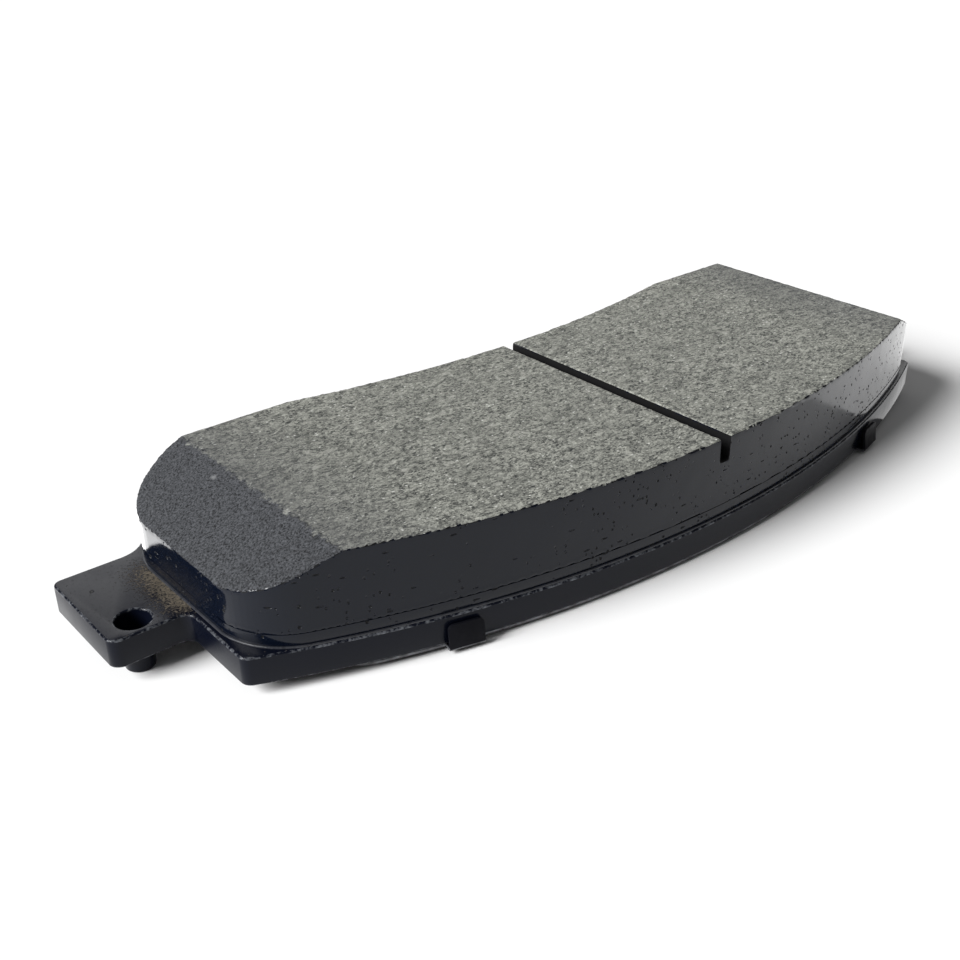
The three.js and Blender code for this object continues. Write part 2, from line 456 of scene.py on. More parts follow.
def lining_paint():
    material = start_finish("lining_paint")
    tree = material.node_tree
    warp = noise(tree, 1.2 * MM, 3)
    rougher_end = between(tree, part_of(tree, 0), -45 * MM, 20 * MM, 0.0, 0.16)
    patches = maths(tree, "ADD", noise(tree, 8 * MM, 2), rougher_end)
    crowding = between(tree, patches, 0.5, 0.6)
    fine_holes = pinholes(tree, 1.0 * MM, 0.5, 0.26)
    fine_holes = maths(tree, "MULTIPLY", fine_holes, crowding)
    holes = pinholes(tree, 2.3 * MM, 0.3, 0.15)
    drags = pinholes(tree, 1.2 * MM, 0.14, 0.2, grid(tree, (2.8, 2.8, 0.7), 0.1))
    marks = maths(tree, "MAXIMUM", maths(tree, "MAXIMUM", holes, drags), fine_holes)
    marks = maths(tree, "MULTIPLY", marks, between(tree, warp, 0.36, 0.48))
    ragged = maths(tree, "MULTIPLY", named(tree, "crumble"), between(tree, warp, 0.3, 0.62))
    crumb = between(tree, ragged, 0.3, 0.45)
    dark = maths(tree, "MAXIMUM", marks, crumb)
    tone = blend(tree, noise(tree, 14 * MM, 2), colour(5, 10, 20), colour(9, 14, 26))
    paint = blend(tree, dark, tone, colour(6, 6, 8))
    gloss = between(tree, noise(tree, 5 * MM, 3), 0.3, 0.7, 0.1, 0.17)
    rough = maths(tree, "MAXIMUM", gloss, maths(tree, "MULTIPLY", dark, 0.85))
    peel = bump(tree, noise(tree, 2.6 * MM, 2), 0.02 * MM, 0.4)
    sunk = bump(tree, maths(tree, "SUBTRACT", 1.0, marks), 0.2 * MM, 0.8, peel)
    end_finish(tree, Base_Color=paint, Roughness=rough, IOR=PAINT_IOR, Normal=sunk)
    return material


LINING_PAINT = lining_paint()
print("made", LINING_PAINT.name)

# %% [markdown]
# ## The ground compound
# The friction face is cut flat by a coarse wheel, so it shows what the compound is made of:
# a grey matrix, pale flakes of mineral and fibre, and dark grains. The end chamfers are ground
# on another wheel. They stay darker and a little cooler in tone, with ripples near the outer
# edge. One finish holds both, and a frayed line parts them where the chamfer starts.

# %% The ground face and the chamfers
CHAMFER_START = 68.8 * MM
CHAMFER_DROP = 6.6 * MM
CHAMFER_SLOPE = CHAMFER_DROP / (LINING_HALF - CHAMFER_START)


def flakes(tree, size, share, width, where=None):
    """Ragged flakes in a share of the cells."""
    frayed = noise(tree, size * 0.3, 3, 0.6)
    made = cells(tree, size, where)
    reach = maths(tree, "ADD", made.outputs["Distance"], maths(tree, "MULTIPLY", frayed, 0.5))
    chosen = between(tree, part_of(tree, 0, made.outputs["Color"]), share, share * 0.97, 0, 1)
    flake = between(tree, reach, width + 0.2, width + 0.32, 1, 0)
    return maths(tree, "MULTIPLY", chosen, flake)


def crumbs(tree, size, where=None):
    """A different even value in each ragged little grain."""
    frayed = noise(tree, size * 0.6, 2, 0.6, where)
    source = where or grid(tree)
    most = (size, size, size)
    push = node(tree, "ShaderNodeVectorMath", {0: frayed, 1: most}, operation="MULTIPLY")
    moved = node(tree, "ShaderNodeVectorMath", {0: source, 1: push.outputs[0]}, operation="ADD")
    return part_of(tree, 0, cells(tree, size, moved.outputs[0]).outputs["Color"])


def ground_compound():
    material = start_finish("ground_compound")
    tree = material.node_tree
    along = grid(tree, (1.5, 1, 1), 0.15)
    fine = noise(tree, 0.26 * MM, 4, 0.75, along)
    small = crumbs(tree, 0.34 * MM, along)
    large = crumbs(tree, 1.0 * MM, along)
    mixed = maths(tree, "MULTIPLY", fine, 0.9)
    mixed = maths(tree, "ADD", mixed, maths(tree, "MULTIPLY", small, 0.34))
    mixed = maths(tree, "ADD", mixed, maths(tree, "MULTIPLY", large, 0.16))
    patchy = noise(tree, 9 * MM, 3)
    matrix = blend(tree, between(tree, mixed, 0.45, 0.93), colour(40, 42, 42), colour(170, 171, 162))
    matrix = blend(tree, between(tree, patchy, 0.35, 0.7, 0.0, 0.22), matrix, colour(102, 104, 98))
    grains = flakes(tree, 0.8 * MM, 0.3, 0.2)
    matrix = scatter(tree, grains, 0.7, matrix, colour(26, 28, 29))
    pale = flakes(tree, 2.6 * MM, 0.26, 0.2, along)
    matrix = scatter(tree, pale, 0.5, matrix, colour(178, 178, 170))
    specks = flakes(tree, 0.8 * MM, 0.24, 0.16, along)
    matrix = scatter(tree, specks, 0.8, matrix, colour(220, 221, 215))

    coarse = noise(tree, 0.34 * MM, 3, 0.75)
    crests = between(tree, coarse, 0.36, 0.66)
    rough_chamfer = blend(tree, crests, colour(16, 17, 20), colour(86, 88, 92))
    pits = flakes(tree, 0.8 * MM, 0.4, 0.2)
    rough_chamfer = scatter(tree, pits, 0.9, rough_chamfer, colour(10, 11, 13))
    stray = flakes(tree, 3.4 * MM, 0.1, 0.14)
    rough_chamfer = scatter(tree, stray, 0.6, rough_chamfer, colour(134, 135, 136))
    ripple = node(tree, "ShaderNodeTexWave", {
        "Vector": grid(tree, (1, 1, 1), 0.5),
        "Scale": 1 / (9 * MM),
        "Distortion": 5.0,
        "Detail": 2.0,
        "Detail Scale": 1.4,
    }, bands_direction="Y").outputs["Fac"]
    near_edge = between(tree, part_of(tree, 1), -12 * MM, -2 * MM, 1, 0)
    ripple = maths(tree, "MULTIPLY", ripple, near_edge)

    fuzz = maths(tree, "MULTIPLY", noise(tree, 1.5 * MM, 4, 0.7), 5 * MM)
    edge = maths(tree, "ADD", from_middle(tree), fuzz)
    past = between(tree, edge, CHAMFER_START + 2.2 * MM, CHAMFER_START + 2.9 * MM)
    dull = between(tree, edge, CHAMFER_START - 15 * MM, CHAMFER_START + 2.4 * MM, 0, 0.5)
    face = blend(tree, dull, matrix, colour(80, 81, 84))
    face = blend(tree, past, face, rough_chamfer)
    grit = bump(tree, maths(tree, "ADD", mixed, coarse), 0.2 * MM, 0.85)
    grit = bump(tree, maths(tree, "MULTIPLY", ripple, past), 0.5 * MM, 0.8, grit)
    scars = bump(tree, maths(tree, "SUBTRACT", 1.0, grains), 0.12 * MM, 0.6, grit)
    end_finish(tree, Base_Color=face, Roughness=0.85, IOR=1.35, Normal=scars)
    return material


# Painted shade: a near-black colour on the slot's faces stands in for the shade inside the narrow
# slot.
def slot_shade_compound():
    material = start_finish("slot_painted_shade")
    tree = material.node_tree
    tone = blend(tree, noise(tree, 0.6 * MM, 3), colour(3, 3, 4), colour(12, 12, 13))
    rough = bump(tree, noise(tree, 0.5 * MM, 3), 0.1 * MM, 0.6)
    end_finish(tree, Base_Color=tone, Roughness=0.9, IOR=1.3, Normal=rough)
    return material


SLOT_SHADE_COMPOUND = slot_shade_compound()
GROUND_COMPOUND = ground_compound()
print("made", GROUND_COMPOUND.name)

# %% [markdown]
# ## The friction block
# The block starts as a crisp solid: its outline is pulled up, the two end chamfers are sliced
# off with Bisect and the slot is sawn out. Real compound is never that crisp, so it then gets
# a fine even skin from Remesh, laid back exactly onto the crisp faces with Shrinkwrap, and
# Displace modifiers press the grain into that skin. They only push inwards, because the block
# mustn't outgrow its size.

# %% Cut the crisp block
SLOT_WIDTH = 2.3 * MM
SLOT_DEPTH = 4.5 * MM
SAW_PAST = 10 * MM

block = draw_lining("lining_block", BLOCK_BACK)
pull_up(BLOCK_FRONT - BLOCK_BACK)
for side in (-1, 1):
    bpy.ops.object.mode_set(mode="EDIT")
    bpy.ops.mesh.select_all(action="SELECT")
    bpy.ops.mesh.bisect(
        plane_co=(side * CHAMFER_START, 0, BLOCK_FRONT),
        plane_no=(side * CHAMFER_SLOPE, 0, 1),
        use_fill=True,
        clear_outer=True,
    )
    bpy.ops.object.mode_set(mode="OBJECT")

bpy.ops.object.select_all(action="DESELECT")
bpy.ops.mesh.primitive_cube_add(size=1, location=(0, 0, BLOCK_FRONT))
saw = bpy.context.object
saw.scale = (SLOT_WIDTH, 2 * LINING_FLAT + SAW_PAST, 2 * SLOT_DEPTH)
use_tool(block, saw, "DIFFERENCE")
report(block)

# %% Give it a fine skin
SKIN = 0.42 * MM
BOTTOM_SLACK = 0.02 * MM


def fine_skin(piece, size):
    """Covers a crisp solid with small even faces that lie on its own faces."""
    crisp = piece.copy()
    crisp.data = piece.data.copy()
    bpy.context.collection.objects.link(crisp)
    skin = piece.modifiers.new("skin", "REMESH")
    skin.mode = "VOXEL"
    skin.voxel_size = size
    wrap = piece.modifiers.new("wrap", "SHRINKWRAP")
    wrap.target = crisp
    apply_modifiers(piece)
    bpy.data.objects.remove(crisp)


def flatten_bottom(piece, level):
    """Makes the hidden bottom one face again."""
    bpy.ops.object.mode_set(mode="EDIT")
    bpy.ops.mesh.select_mode(type="FACE")
    bpy.ops.mesh.select_all(action="DESELECT")
    mesh = bmesh.from_edit_mesh(piece.data)
    for face in mesh.faces:
        low = max(corner.co.z for corner in face.verts) < level + BOTTOM_SLACK
        face.select_set(low and face.normal.z < -0.9)
    bmesh.update_edit_mesh(piece.data)
    bpy.ops.mesh.dissolve_faces()
    bpy.ops.object.mode_set(mode="OBJECT")


fine_skin(block, SKIN)
flatten_bottom(block, BLOCK_BACK)
report(block)

# %% [markdown]
# A vertex group says how much of a displacement each point takes. Three are wanted: the ground
# faces, the walls, and a narrow band along the rim where the two meet and the compound crumbles.

# %% Weigh the skin and press the grain in
RIM_BAND = 0.7 * MM


def face_level(x):
    """The height of the ground face or chamfer above a place along the block."""
    return BLOCK_FRONT - max(0, abs(x) - CHAMFER_START) * CHAMFER_SLOPE


def weigh(piece):
    """Sorts the points of the skin into ground faces, walls and rim."""
    ground = piece.vertex_groups.new(name="ground")
    wall = piece.vertex_groups.new(name="wall")
    rim = piece.vertex_groups.new(name="rim")
    for vertex in piece.data.vertices:
        below = face_level(vertex.co.x) - vertex.co.z
        facing_up = vertex.normal.z > 0.6
        if facing_up and below < 0.1 * MM:
            ground.add([vertex.index], 1, "REPLACE")
        elif vertex.co.z > BLOCK_BACK + RIM_BAND:
            wall.add([vertex.index], 1, "REPLACE")
        if vertex.normal.z < 0.85 and below < RIM_BAND:
            rim.add([vertex.index], 1 - below / RIM_BAND, "REPLACE")


def press_in(piece, name, size, depth, group, detail):
    """Pushes the skin in by up to depth, in a cloudy pattern."""
    pattern = bpy.data.textures.new(name, "CLOUDS")
    pattern.noise_scale = size
    pattern.noise_depth = detail
    push = piece.modifiers.new(name, "DISPLACE")
    push.texture = pattern
    push.texture_coords = "LOCAL"
    push.strength = depth
    push.mid_level = 1
    push.vertex_group = group


weigh(block)
press_in(block, "grain", size=1.1 * MM, depth=0.22 * MM, group="ground", detail=2)
press_in(block, "crumble", size=1.0 * MM, depth=0.22 * MM, group="rim", detail=3)
press_in(block, "mould_skin", size=7 * MM, depth=0.10 * MM, group="wall", detail=1)
apply_modifiers(block)
report(block)

# %% [markdown]
# Each face gets its finish from where it lies and which way it looks: paint on the walls, bare
# compound on the ground faces, and in the slot a near-black finish that paints in the shade of
# the narrow slot. The attribute "crumble", which the wall paint reads, is 1 at the ground faces
# and fades to 0 over the band along the rim.

# %% Part the ground faces and the slot from the painted walls
GROUND_SLACK = 0.35 * MM
SLOT_SLACK = 0.1 * MM
SLOT_TOP = 1 * MM


def give_faces(piece, slot, wanted):
    """Gives a material slot to the faces that pass a test of their middle and normal."""
    bpy.context.view_layer.objects.active = piece
    bpy.ops.object.mode_set(mode="EDIT")
    bpy.ops.mesh.select_mode(type="FACE")
    bpy.ops.mesh.select_all(action="DESELECT")
    mesh = bmesh.from_edit_mesh(piece.data)
    for face in mesh.faces:
        face.select_set(wanted(face.calc_center_median(), face.normal))
    bmesh.update_edit_mesh(piece.data)
    piece.active_material_index = slot
    bpy.ops.object.material_slot_assign()
    bpy.ops.object.mode_set(mode="OBJECT")


def on_ground(middle, normal):
    return normal.z > 0.55 and face_level(middle.x) - middle.z < GROUND_SLACK


def in_slot(middle, normal):
    near = abs(middle.x) < SLOT_WIDTH / 2 + SLOT_SLACK
    on_side = normal.z < 0.6 and abs(normal.y) < 0.7
    on_floor = normal.z > 0.35 and middle.z < BLOCK_FRONT - SLOT_TOP
    return near and (on_side or on_floor)


slots(block, LINING_PAINT, GROUND_COMPOUND, SLOT_SHADE_COMPOUND)
give_faces(block, 1, on_ground)
# The slot's faces get the near-black painted shade.
give_faces(block, 2, in_slot)
crumble = block.data.attributes.new("crumble", "FLOAT", "POINT")
for vertex in block.data.vertices:
    below = face_level(vertex.co.x) - vertex.co.z
    crumble.data[vertex.index].value = max(0, 1 - below / RIM_BAND)
smooth(block, 40)
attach(block, "root")
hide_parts("friction_block")

# %% [markdown]
# ## The underlayer
# Between the compound and the steel lies a softer layer, pressed on in the same mould, which
# holds heat and noise back from the caliper. The mould drives it into the four keying holes of
# the plate. Its wall carries on the block's wall under the same paint.

# %% Press the underlayer
KEY_RADIUS = 5 * MM
KEY_CLEARANCE = 0.3 * MM
PLUG_SUNK = 1 * MM
KEY_PLACES = [(x * MM, y * MM) for x, y in ((-58, 4), (-24, -2), (24, -2), (58, 4))]

underlayer = draw_lining("lining_underlayer", UNDERLAYER_BACK)
pull_up(BLOCK_BACK - UNDERLAYER_BACK)
for x, y in KEY_PLACES:
    plug = round_bar(KEY_RADIUS - KEY_CLEARANCE, UNDERLAYER[0].z, BLOCK_BACK - PLUG_SUNK, x, y)
    use_tool(underlayer, plug, "UNION")
round_edges(underlayer, lambda place: place.z < UNDERLAYER_BACK + TOUCH, 0.15 * MM, 2)
slots(underlayer, LINING_PAINT)
smooth(underlayer)
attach(underlayer, "root")
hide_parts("underlayer")
report(underlayer)

# %% [markdown]
# ## The resin film
# The plate is coated with resin before pressing, and the heat and pressure squeeze a thin lip
# of it out all round the lining. It shows as a fine line near the foot of the wall, where the
# light catches its rounded upper edge. Its surface is a little wavy. That is too fine to be
# worth a shape, so it is a bump in the finish.

# %% The finish of the squeezed-out lip
def lip_paint():
    material = start_finish("resin_lip")
    tree = material.node_tree
    tone = blend(tree, noise(tree, 0.9 * MM, 3), colour(8, 8, 12), colour(60, 62, 68))
    gloss = between(tree, noise(tree, 3 * MM, 3), 0.3, 0.7, 0.2, 0.45)
    wavy = bump(tree, noise(tree, 0.8 * MM, 3), 0.08 * MM, 0.6)
    end_finish(tree, Base_Color=tone, Roughness=gloss, IOR=1.5, Normal=wavy)
    return material


# %% Lay the film
FILM_GROW = FILM[1].x - LINING_HALF

film = draw_lining("resin_film", PLATE_FRONT, FILM_GROW)
pull_up(UNDERLAYER_BACK - PLATE_FRONT)
for x, y in KEY_PLACES:
    punch = round_bar(KEY_RADIUS, PLATE_FRONT - PAST, UNDERLAYER_BACK + PAST, x, y)
    use_tool(film, punch, "DIFFERENCE")
round_edges(film, lambda place: place.z > UNDERLAYER_BACK - TOUCH, 0.1 * MM, 3)
slots(film, lip_paint())
smooth(film)
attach(film, "root")
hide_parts("adhesive_film")
report(film)

# %% [markdown]
# ## Paint on the steel
# The plate wears the same dark paint as the lining's walls, but a little duller. Its edges
# were rolled over by the stamping die, and the paint is thin and wears through there. The rims
# also get a lighter tone that is partly this wear and partly a painted highlight along the
# rolled edges. Dust from the grinding wheel lies on the ears, close to the foot of the lining.
# One function makes both the plain paint and the rims', which differ only in how much of that
# lighter tone they get.

# %% The plate's paint and its rims, lighter from wear and a painted highlight
PLATE_PAINT_IOR = 1.27


def dust_near_lining(tree):
    """1 in the dust at the root of an ear, thinning out along it, in fine speckles."""
    fade = between(tree, from_middle(tree), LINING_HALF + 1.0 * MM, LINING_HALF + 6.5 * MM, 1, 0)
    across = part_of(tree, 1)
    outer_side = between(tree, across, 1 * MM, 5 * MM)
    inner_side = between(tree, across, 17 * MM, 24 * MM, 1, 0)
    sides = maths(tree, "MULTIPLY", outer_side, inner_side)
    cover = maths(tree, "MULTIPLY", fade, sides)
    speckle = noise(tree, 0.45 * MM, 4, 0.75)
    grown = maths(tree, "ADD", speckle, maths(tree, "MULTIPLY", cover, 0.27))
    on_top = between(tree, part_of(tree, 2), PLATE_FRONT - 0.25 * MM, PLATE_FRONT - 0.1 * MM)
    return maths(tree, "MULTIPLY", on_top, between(tree, grown, 0.62, 0.82))


def plate_paint(name, wear_and_highlight):
    material = start_finish(name)
    tree = material.node_tree
    tone = blend(tree, noise(tree, 12 * MM, 2), colour(6, 9, 19), colour(11, 14, 25))
    dots = pinholes(tree, 3.1 * MM, 0.12, 0.12)
    tone = blend(tree, dots, tone, colour(5, 5, 6))
    dust = dust_near_lining(tree)
    dusty = blend(tree, noise(tree, 1.4 * MM, 4, 0.7), colour(24, 19, 15), colour(128, 119, 104))
    tone = blend(tree, dust, tone, dusty)
    gloss = between(tree, noise(tree, 6 * MM, 3), 0.3, 0.7, 0.16, 0.27)
    gloss = maths(tree, "MAXIMUM", gloss, maths(tree, "MULTIPLY", dust, 0.8))
    # Wear and painted highlight: this lighter, partly metallic tone is paint thinned by wear, and on
    # the rims it also paints in the bright highlight lines along the rolled edges.
    wear_and_highlight_mask = between(tree, noise(tree, 0.8 * MM, 3, 0.6), 0.6 - wear_and_highlight, 0.9 - wear_and_highlight)
    tone = blend(tree, wear_and_highlight_mask, tone, colour(112, 115, 120))
    metal = maths(tree, "MULTIPLY", wear_and_highlight_mask, 0.4)
    peel = bump(tree, noise(tree, 1.9 * MM, 2), 0.02 * MM, 0.5)
    sunk = bump(tree, maths(tree, "SUBTRACT", 1.0, dots), 0.15 * MM, 0.8, peel)
    grit = bump(tree, dust, 0.06 * MM, 0.7, sunk)
    end_finish(
        tree,
        Base_Color=tone,
        Roughness=gloss,
        Metallic=metal,
        IOR=PLATE_PAINT_IOR,
        Normal=grit,
    )
    return material


PLATE_PAINT = plate_paint("plate_paint", -0.4)
# The rims' finish: a lighter tone that is partly wear and partly painted highlight.
RIM_WEAR_AND_HIGHLIGHT = plate_paint("plate_rim_wear_and_highlight", 0.14)

# %% [markdown]
# ## The backing plate
# The plate is stamped from 5 mm strip in one blow. Each ear carries a half-sheared boss: the
# punch stops part-way, so a round recess in front comes with a boss of about the same size
# behind. Four holes through the plate take the plugs of the underlayer.

# %% Draw and stamp the plate
EAR_TIP = PLATE[1].x
EAR_LOW = 2.9 * MM
EAR_HIGH = 24.9 * MM
EAR_LOW_CORNER = 2 * MM
EAR_HIGH_CORNER = 1.5 * MM
EAR_LOW_FILLET = 2 * MM
EAR_HIGH_FILLET = 6 * MM


def draw_ear():
    """Round the ear, from the plate's end to its shoulder."""
    pen_line(PLATE_HALF, EAR_LOW - EAR_LOW_FILLET)
    pen_arc(PLATE_HALF + EAR_LOW_FILLET, EAR_LOW - EAR_LOW_FILLET, UP)
    pen_line(EAR_TIP - EAR_LOW_CORNER, EAR_LOW)
    pen_arc(EAR_TIP - EAR_LOW_CORNER, EAR_LOW + EAR_LOW_CORNER, RIGHT)
    pen_line(EAR_TIP, EAR_HIGH - EAR_HIGH_CORNER)
    pen_arc(EAR_TIP - EAR_HIGH_CORNER, EAR_HIGH - EAR_HIGH_CORNER, UP)
    shoulder_x = PLATE_HALF - SHOULDER
    shoulder_y = INNER_FLAT - SHOULDER
    fillet_y = EAR_HIGH + EAR_HIGH_FILLET
    rise = fillet_y - shoulder_y
    run = math.sqrt((SHOULDER + EAR_HIGH_FILLET) ** 2 - rise ** 2)
    fillet_x = shoulder_x + run
    lean = math.atan2(rise, fillet_x - shoulder_x)
    pen_line(fillet_x, EAR_HIGH)
    pen_arc(fillet_x, fillet_y, lean - math.pi)
    pen_arc(shoulder_x, shoulder_y, UP)


plate = draw_outer_edge("plate_body", OUTER_RADIUS, PLATE_HALF, PLATE_CORNER, PLATE_BACK)
draw_ear()
draw_inner_edge(INNER_RADIUS, INNER_FLAT)
close_outline()
pull_up(PLATE_FRONT - PLATE_BACK)
report(plate)

# %% Punch the holes and push out the bosses
BOSS_X = 91.2 * MM
BOSS_Y = 6.8 * MM
RECESS_RADIUS = 2.8 * MM
BOSS_RADIUS = 2.4 * MM
BOSS_END = PLATE[0].z
RECESS_FLOOR = PLATE_FRONT - (PLATE_BACK - BOSS_END)

for x, y in KEY_PLACES:
    punch = round_bar(KEY_RADIUS, PLATE_BACK - PAST, PLATE_FRONT + PAST, x, y)
    use_tool(plate, punch, "DIFFERENCE")
for side in (-1, 1):
    boss = round_bar(BOSS_RADIUS, BOSS_END, PLATE_BACK + PAST, side * BOSS_X, BOSS_Y)
    use_tool(plate, boss, "UNION")
    recess = round_bar(RECESS_RADIUS, RECESS_FLOOR, PLATE_FRONT + PAST, side * BOSS_X, BOSS_Y)
    use_tool(plate, recess, "DIFFERENCE")

# %% Roll the edges over
RIM_RADIUS = 0.33 * MM
slots(plate, PLATE_PAINT, RIM_WEAR_AND_HIGHLIGHT)
# The rounded rims get that finish of wear and painted highlight.
round_edges(plate, lambda place: place.z > PLATE_FRONT - TOUCH, RIM_RADIUS, 4, 1)
round_edges(plate, lambda place: abs(place.z - PLATE_BACK) < TOUCH, RIM_RADIUS * 0.7, 3, 1)
round_edges(plate, lambda place: place.z < BOSS_END + TOUCH, RIM_RADIUS, 3, 0)
smooth(plate)
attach(plate, "root")
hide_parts("backing_plate")
report(plate)

# %% [markdown]
# ## The noise shim
# The shim is a spring-steel sheet coated with rubber on both sides. Its four tabs are cut out
# with the blank, bent up over the plate's edge and set leaning inwards, so they hold by spring.
# One tab is modelled: a short strip is carried round its bend with Spin, pulled up, thickened
# with Solidify, and rounded at its free corners. The others are copies. The blank was cut after
# it was coated, so bare steel shows along the cut edge.

# %% Finishes of the shim
def shim_coating():
    material = start_finish("shim_coating")
    tree = material.node_tree
    tone = blend(tree, noise(tree, 3 * MM, 4, 0.6), colour(6, 6, 11), colour(13, 14, 20))
    gloss = between(tree, noise(tree, 1.2 * MM, 3), 0.3, 0.7, 0.5, 0.66)
    scuffs = between(tree, noise(tree, 0.9 * MM, 3, 0.6, grid(tree, (4, 1, 1), 0.4)), 0.66, 0.74)
    tone = blend(tree, scuffs, tone, colour(30, 31, 35))
    wavy = bump(tree, noise(tree, 0.5 * MM, 3), 0.04 * MM, 0.5)
    end_finish(tree, Base_Color=tone, Roughness=gloss, IOR=1.2, Normal=wavy)
    return material


def bare_steel_edge():
    material = start_finish("shim_cut_edge")
    tree = material.node_tree
    patches = between(tree, noise(tree, 2.6 * MM, 3, 0.6), 0.34, 0.6)
    tone = blend(tree, patches, colour(30, 31, 36), colour(120, 122, 126))
    gloss = between(tree, noise(tree, 0.7 * MM, 2), 0.3, 0.7, 0.25, 0.45)
    metal = maths(tree, "MULTIPLY", patches, 0.7)
    end_finish(tree, Base_Color=tone, Roughness=gloss, Metallic=metal)
    return material


def rubber_coat():
    material = start_finish("rubber_coat")
    tree = material.node_tree
    tone = blend(tree, noise(tree, 5 * MM, 4, 0.6), colour(20, 20, 21), colour(38, 38, 39))
    smears = between(tree, noise(tree, 9 * MM, 4, 0.6, grid(tree, (3, 1, 1))), 0.55, 0.75)
    tone = scatter(tree, smears, 0.5, tone, colour(58, 58, 58))
    pebbled = bump(tree, noise(tree, 0.6 * MM, 3), 0.08 * MM, 0.6)
    rough = between(tree, smears, 0, 1, 0.6, 0.78)
    end_finish(tree, Base_Color=tone, Roughness=rough, Normal=pebbled)
    return material


SHIM_COATING = shim_coating()
RUBBER_COAT = rubber_coat()
for name in ("shim_inner_rubber", "shim_outer_rubber"):
    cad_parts[name].material_slots[0].material = RUBBER_COAT

# %% Cut the sheet
SHIM_HALF = SHIM[1].x
SHIM_SETBACK = 0.4 * MM
SHIM_CORNER = 6 * MM
SHIM_SOFT_EDGE = 0.1 * MM
SHIM_STEEL = STEEL_FRONT - STEEL_BACK

edge_radius = OUTER_RADIUS - SHIM_SETBACK
shim = draw_outer_edge("shim_sheet", edge_radius, SHIM_HALF, SHIM_CORNER, STEEL_BACK)
flat = INNER_FLAT - SHIM_SETBACK
pen_line(SHIM_HALF, flat - SHIM_CORNER)
pen_arc(SHIM_HALF - SHIM_CORNER, flat - SHIM_CORNER, UP)
draw_inner_edge(INNER_RADIUS + SHIM_SETBACK, flat)
close_outline()
pull_up(SHIM_STEEL)
round_edges(shim, lambda place: True, SHIM_SOFT_EDGE, 2)
report(shim)

# %% Bend one tab
TAB_WIDTH = 6 * MM
TAB_TOP = SHIM[1].z
TAB_BEND = math.radians(84)
TAB_GAP_LOW = 0.9 * MM
TAB_GAP_HIGH = 0.35 * MM
TAB_OVERLAP = 2 * MM
TAB_CORNER = 0.9 * MM
TOP_SLACK = 0.1 * MM


def bent_tab():
    """A tab at the middle of an edge at y = 0, with the plate on its +Y side."""
    run = TAB_OVERLAP + TAB_GAP_LOW
    bpy.ops.object.select_all(action="DESELECT")
    bpy.ops.mesh.primitive_plane_add(size=1, location=(0, TAB_OVERLAP - run / 2, STEEL_BACK))
    tab = bpy.context.object
    tab.scale = (TAB_WIDTH, run, 1)
    bpy.ops.object.transform_apply(location=True, scale=True)
    pick_strip_end(tab)
    hinge = (0, -TAB_GAP_LOW, STEEL_BACK + SHIM_STEEL)
    bpy.ops.mesh.spin(steps=6, angle=TAB_BEND, center=hinge, axis=(1, 0, 0))
    mesh = bmesh.from_edit_mesh(tab.data)
    top = next(vertex.co.copy() for vertex in mesh.verts if vertex.select)
    rise = (0, -TAB_GAP_HIGH - SHIM_STEEL - top.y, TAB_TOP - top.z)
    bpy.ops.mesh.extrude_region_move(TRANSFORM_OT_translate={"value": rise})
    bpy.ops.object.mode_set(mode="OBJECT")
    thick = tab.modifiers.new("thick", "SOLIDIFY")
    thick.thickness = SHIM_STEEL
    thick.offset = 1
    apply_modifiers(tab)
    return tab


def pick_strip_end(strip):
    """In edit mode, selects the edge of a flat strip that lies furthest towards -Y."""
    bpy.ops.object.mode_set(mode="EDIT")
    bpy.ops.mesh.select_mode(type="EDGE")
    bpy.ops.mesh.select_all(action="DESELECT")
    mesh = bmesh.from_edit_mesh(strip.data)
    end = min(mesh.edges, key=lambda edge: edge.verts[0].co.y + edge.verts[1].co.y)
    end.select_set(True)
    bmesh.update_edit_mesh(strip.data)


def round_tab_corners(tab):
    """Rounds the two free corners of a tab, and then softens its edges."""
    bpy.context.view_layer.objects.active = tab
    bpy.ops.object.mode_set(mode="EDIT")
    bpy.ops.mesh.select_mode(type="EDGE")
    bpy.ops.mesh.select_all(action="DESELECT")
    mesh = bmesh.from_edit_mesh(tab.data)
    for edge in mesh.edges:
        first, second = (end.co for end in edge.verts)
        through = abs(first.x - second.x) < TOUCH and abs(first.z - second.z) < TOP_SLACK
        edge.select_set(through and min(first.z, second.z) > TAB_TOP - TOP_SLACK)
    bmesh.update_edit_mesh(tab.data)
    bpy.ops.mesh.bevel(offset=TAB_CORNER, segments=5, affect="EDGES")
    bpy.ops.object.mode_set(mode="OBJECT")
    soften = tab.modifiers.new("soften", "BEVEL")
    soften.width = SHIM_SOFT_EDGE
    soften.segments = 2
    soften.angle_limit = math.radians(50)
    apply_modifiers(tab)


tab = bent_tab()
round_tab_corners(tab)
report(tab)

# %% Copy it round the sheet
OUTER_TAB_X = 51.8 * MM
INNER_TAB_X = 32 * MM


def set_tab(model, centre, radius, x, outward):
    """Copies the tab to a place on an edge, square to the edge there."""
    lean = math.asin(x / radius)
    copy = model.copy()
    copy.data = model.data.copy()
    bpy.context.collection.objects.link(copy)
    copy.location = (radius * math.sin(lean), centre - radius * math.cos(lean), 0)
    copy.rotation_euler = (0, 0, lean + outward)
    bpy.ops.object.select_all(action="DESELECT")
    bpy.context.view_layer.objects.active = copy
    copy.select_set(True)
    bpy.ops.object.transform_apply(location=True, rotation=True)
    return copy


